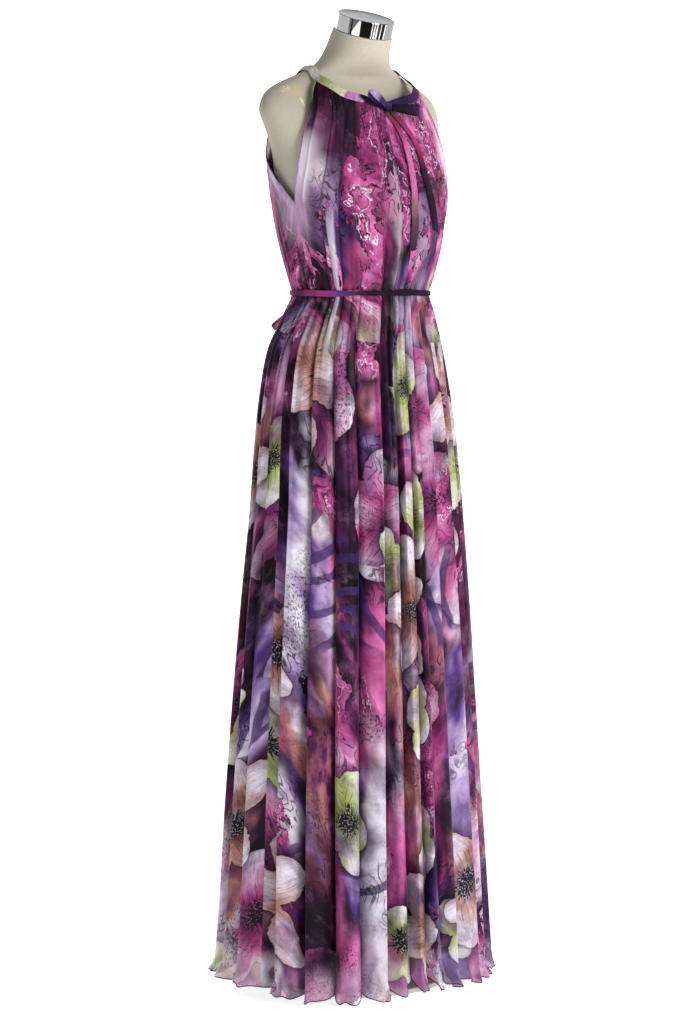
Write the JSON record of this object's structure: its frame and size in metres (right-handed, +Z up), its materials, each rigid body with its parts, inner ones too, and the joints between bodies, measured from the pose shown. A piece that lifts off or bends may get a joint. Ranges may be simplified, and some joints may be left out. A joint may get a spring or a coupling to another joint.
{
  "type": "maxi dress on a dress form",
  "caption": "Sleeveless gathered maxi dress with a neck bow and a tie belt, worn by a limbless dress form on a pole and a round base.",
  "frame": {"origin": "centre of the round base's underside, on the floor", "axes": "+Z up the pole, the dress's front faces -Y, its wearer's left is +X"},
  "size_m": [0.4932, 0.3975, 1.6103],
  "materials": {
    "printed_chiffon": "sheer crepe chiffon, watercolour floral print",
    "tie_chiffon": "printed chiffon, doubled",
    "binding": "rolled chiffon edge",
    "form_cover": "plain woven cotton jersey, taut",
    "cap_chrome": "polished side, satin top",
    "stand_steel": "satin powder coat"
  },
  "bodies": {
    "root": {"front_panel": "printed_chiffon", "back_panel": "printed_chiffon", "neckband": "printed_chiffon", "belt": "tie_chiffon", "belt_knot": "tie_chiffon", "belt_loop_left": "tie_chiffon", "belt_loop_right": "tie_chiffon", "belt_tail_left": "tie_chiffon", "belt_tail_right": "tie_chiffon", "neck_knot": "tie_chiffon", "neck_loop_left": "tie_chiffon", "neck_loop_right": "tie_chiffon", "neck_tail_left": "tie_chiffon", "neck_tail_right": "tie_chiffon", "armhole_binding_left": "binding", "armhole_binding_right": "binding", "dress_form": "form_cover", "neck_cap": "cap_chrome", "stand_pole": "stand_steel", "stand_base": "stand_steel"}
  },
  "joints": []
}
